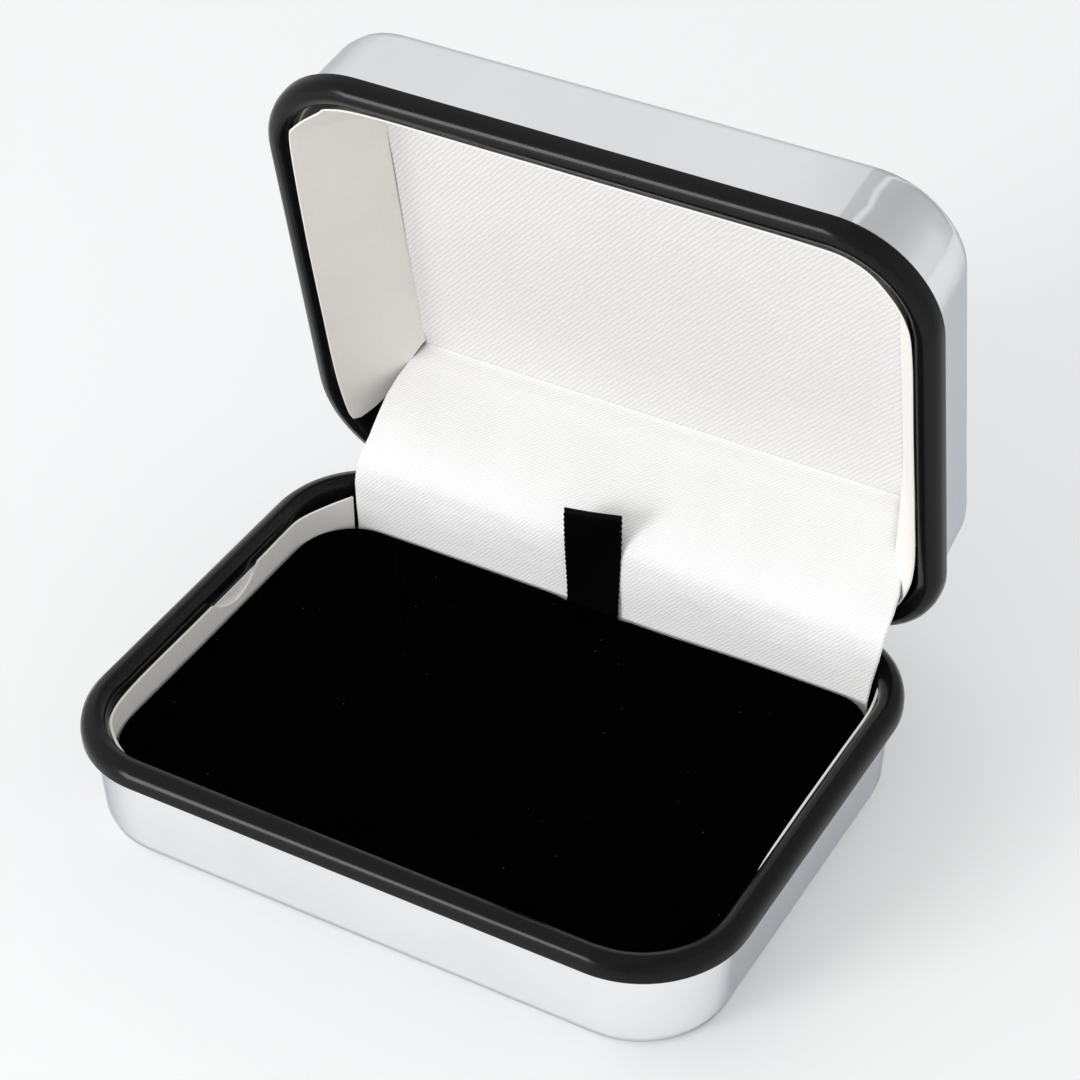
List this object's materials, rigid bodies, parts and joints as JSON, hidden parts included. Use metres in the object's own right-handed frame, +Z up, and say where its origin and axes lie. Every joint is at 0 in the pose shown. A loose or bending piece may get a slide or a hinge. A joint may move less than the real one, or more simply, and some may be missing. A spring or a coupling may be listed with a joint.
{
  "type": "necklace gift box",
  "caption": "Small hinged gift box with chromed shells, black moulded rims, a lift-out black velvet pad with a ribbon pull and white satin lining.",
  "frame": {"origin": "centre of the base's flat bottom face, on the surface that the box stands on", "axes": "+X along the length, +Y from the front to the hinge, +Z up"},
  "size_m": [0.086, 0.0777, 0.0785],
  "materials": {
    "chrome_plate": "bright plated",
    "black_frame": "gloss",
    "cream_card": "matte, fine grain",
    "backing_card": "matte",
    "greyboard": "matte",
    "pad_foam": "foam",
    "black_velvet": "velvet pile",
    "black_ribbon": "satin",
    "paper_tape": "matte",
    "white_satin": "satin twill",
    "plated_steel": "nickel plated",
    "spring_steel": "bright"
  },
  "bodies": {
    "base": {"base_shell": "chrome_plate", "base_bezel": "black_frame", "base_outer_liner": "backing_card", "base_inner_liner": "cream_card", "base_floor_card": "greyboard", "rear_liner_card": "backing_card", "hinge_base_leaf": "plated_steel", "hinge_pin": "plated_steel", "base_leaf_rivets": "plated_steel", "hinge_spring": "spring_steel", "satin_bridge": "white_satin"},
    "lid": {"lid_shell": "chrome_plate", "lid_bezel": "black_frame", "lid_outer_liner": "backing_card", "lid_inner_liner": "cream_card", "lid_floor_card": "greyboard", "lid_satin": "white_satin", "hinge_lid_leaf": "plated_steel", "lid_leaf_rivets": "plated_steel"},
    "insert": {"insert_board": "greyboard", "insert_foam": "pad_foam", "insert_velvet": "black_velvet", "pull_ribbon": "black_ribbon", "ribbon_tape": "paper_tape"}
  },
  "joints": [
    {"name": "lid_hinge", "type": "hinge", "parent": "base", "child": "lid", "pos_m": [0, 0.0315, 0.0153], "axis": [1, 0, 0], "range_deg": [0, 79], "deforming": ["satin_bridge", "hinge_spring", "pull_ribbon"]},
    {"name": "insert_lift", "type": "slide", "parent": "base", "child": "insert", "axis": [0, 0, 1], "range_m": [0, 0.006]}
  ]
}
